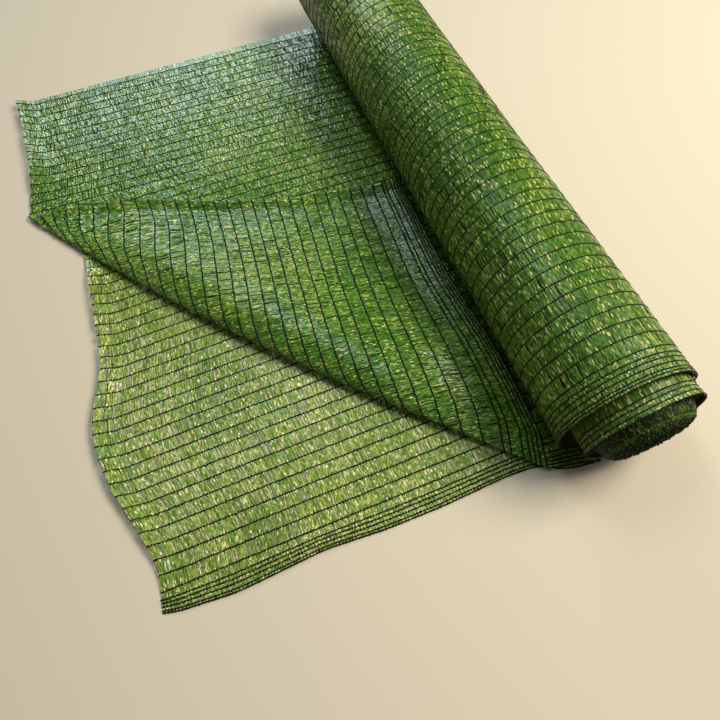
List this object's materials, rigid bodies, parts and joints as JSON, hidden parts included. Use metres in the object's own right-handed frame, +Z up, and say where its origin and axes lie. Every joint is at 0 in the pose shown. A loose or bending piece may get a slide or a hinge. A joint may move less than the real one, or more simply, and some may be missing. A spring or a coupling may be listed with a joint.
{
  "type": "roll of knitted privacy screen net",
  "caption": "Roll of green knitted privacy net, doubled lengthwise, its loose end run out flat with one corner folded back.",
  "frame": {"origin": "middle of the flat spot that the roll rests on, on the floor", "axes": "+Z up, +Y along the roll towards its far end, +X from the loose end towards the roll"},
  "size_m": [0.783, 1.0808, 0.1792],
  "materials": {
    "net_roll": "knitted flat plastic tape, wound",
    "net_loose": "knitted flat plastic tape, with black chain stitch lines"
  },
  "bodies": {
    "root": {"net_roll": "net_roll", "loose_end": "net_loose"}
  },
  "joints": []
}
